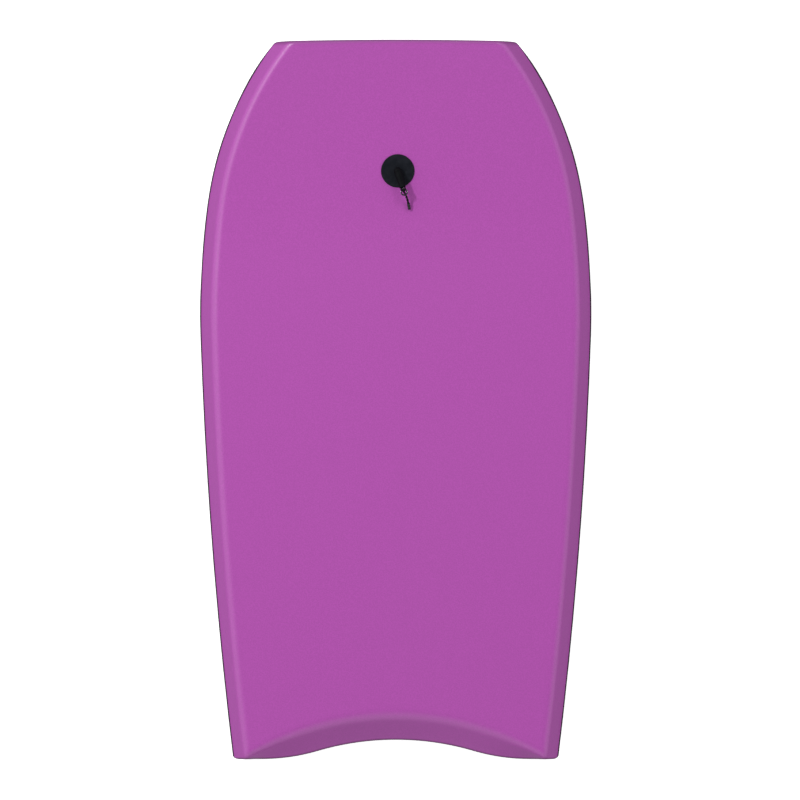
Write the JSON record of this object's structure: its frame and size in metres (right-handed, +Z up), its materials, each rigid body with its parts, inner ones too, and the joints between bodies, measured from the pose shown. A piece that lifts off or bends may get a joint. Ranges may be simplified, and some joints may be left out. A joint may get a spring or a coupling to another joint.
{
  "type": "bodyboard",
  "caption": "Foam bodyboard with nose rocker, bevelled rails, crescent tail, leash plug and a swivelling horn with a short string.",
  "frame": {"origin": "below the middle of the board's box, on the surface that its slick bottom lies on", "axes": "+Y towards the nose, +Z up through the deck, +X to the right as the deck is seen with the nose up"},
  "size_m": [0.5122, 0.94, 0.0891],
  "materials": {
    "deck_foam": "matte",
    "core_foam": "matte",
    "slick_sheet": "satin",
    "rail_foam": "matte",
    "plug_plastic": "satin",
    "horn_plastic": "satin",
    "steel": "satin",
    "string_fibre": "matte",
    "sleeve_plastic": "gloss"
  },
  "bodies": {
    "board": {"deck_skin": "deck_foam", "core": "core_foam", "bottom_slick": "slick_sheet", "left_rail": "rail_foam", "right_rail": "rail_foam", "nose_strip": "deck_foam", "tail_strip": "deck_foam", "plug_flange": "plug_plastic", "plug_screw": "plug_plastic"},
    "horn": {"swivel_pin": "steel", "horn": "horn_plastic"},
    "eye": {"eye_ring": "steel", "string_hitch": "string_fibre", "leash_string": "string_fibre", "string_end": "sleeve_plastic"}
  },
  "joints": [
    {"name": "horn_spin", "type": "hinge", "parent": "board", "child": "horn", "pos_m": [0.0027, 0.299, 0.0615], "axis": [0, -0.0922, 0.9957], "continuous": true},
    {"name": "eye_swivel", "type": "hinge", "parent": "horn", "child": "eye", "pos_m": [0.0027, 0.29849, 0.06697], "axis": [0.2851, -0.9377, 0.1984], "continuous": true}
  ]
}
